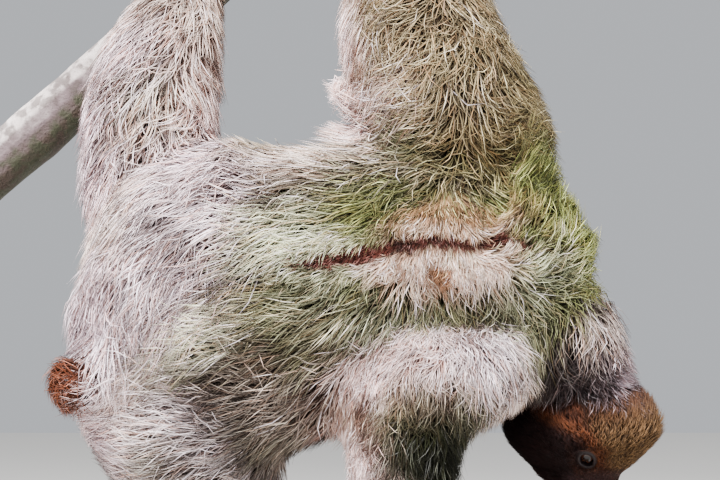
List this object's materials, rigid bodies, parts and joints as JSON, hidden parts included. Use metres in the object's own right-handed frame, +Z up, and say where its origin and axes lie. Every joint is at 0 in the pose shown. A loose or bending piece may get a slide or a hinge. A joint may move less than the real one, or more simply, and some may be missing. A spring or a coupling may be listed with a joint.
{
  "type": "three-toed sloth",
  "caption": "Life-size adult brown-throated sloth hanging sideways by its left hand and foot from a cut branch, head turned down, on a rod display stand.",
  "frame": {"origin": "centre of the underside of the stand's base", "axes": "+Z up, +X from the animal's rump to its shoulders, +Y from its back to its belly"},
  "size_m": [0.5393, 0.29, 0.7977],
  "materials": {
    "coat": "long coarse grey-brown hair with pale tips and a green algal tint, a short cream patch with a dark stripe between the shoulders, brown face",
    "nose": "moist dark bare skin",
    "eye": "wet dark brown eye",
    "claw": "worn horn, yellowish to brown, with fine lengthwise grooves",
    "bark": "thin pale grey bark with lilac and brown mottling",
    "base": "satin black painted board",
    "rod": "satin steel"
  },
  "bodies": {
    "root": {"trunk": "coat", "neck": "coat", "head": "coat", "tail": "coat", "upper_arm_left": "coat", "forearm_left": "coat", "hand_left": "coat", "upper_arm_right": "coat", "forearm_right": "coat", "hand_right": "coat", "thigh_left": "coat", "shank_left": "coat", "foot_left": "coat", "thigh_right": "coat", "shank_right": "coat", "foot_right": "coat", "nose": "nose", "eye_left": "eye", "eye_right": "eye", "hand_left_claw_1": "claw", "hand_left_claw_2": "claw", "hand_left_claw_3": "claw", "foot_left_claw_1": "claw", "foot_left_claw_2": "claw", "foot_left_claw_3": "claw", "hand_right_claw_1": "claw", "hand_right_claw_2": "claw", "hand_right_claw_3": "claw", "foot_right_claw_1": "claw", "foot_right_claw_2": "claw", "foot_right_claw_3": "claw", "perch_branch": "bark", "stand_base": "base", "stand_rod_rear": "rod", "stand_rod_front": "rod", "stand_collar_rear": "rod", "stand_collar_front": "rod"}
  },
  "joints": []
}
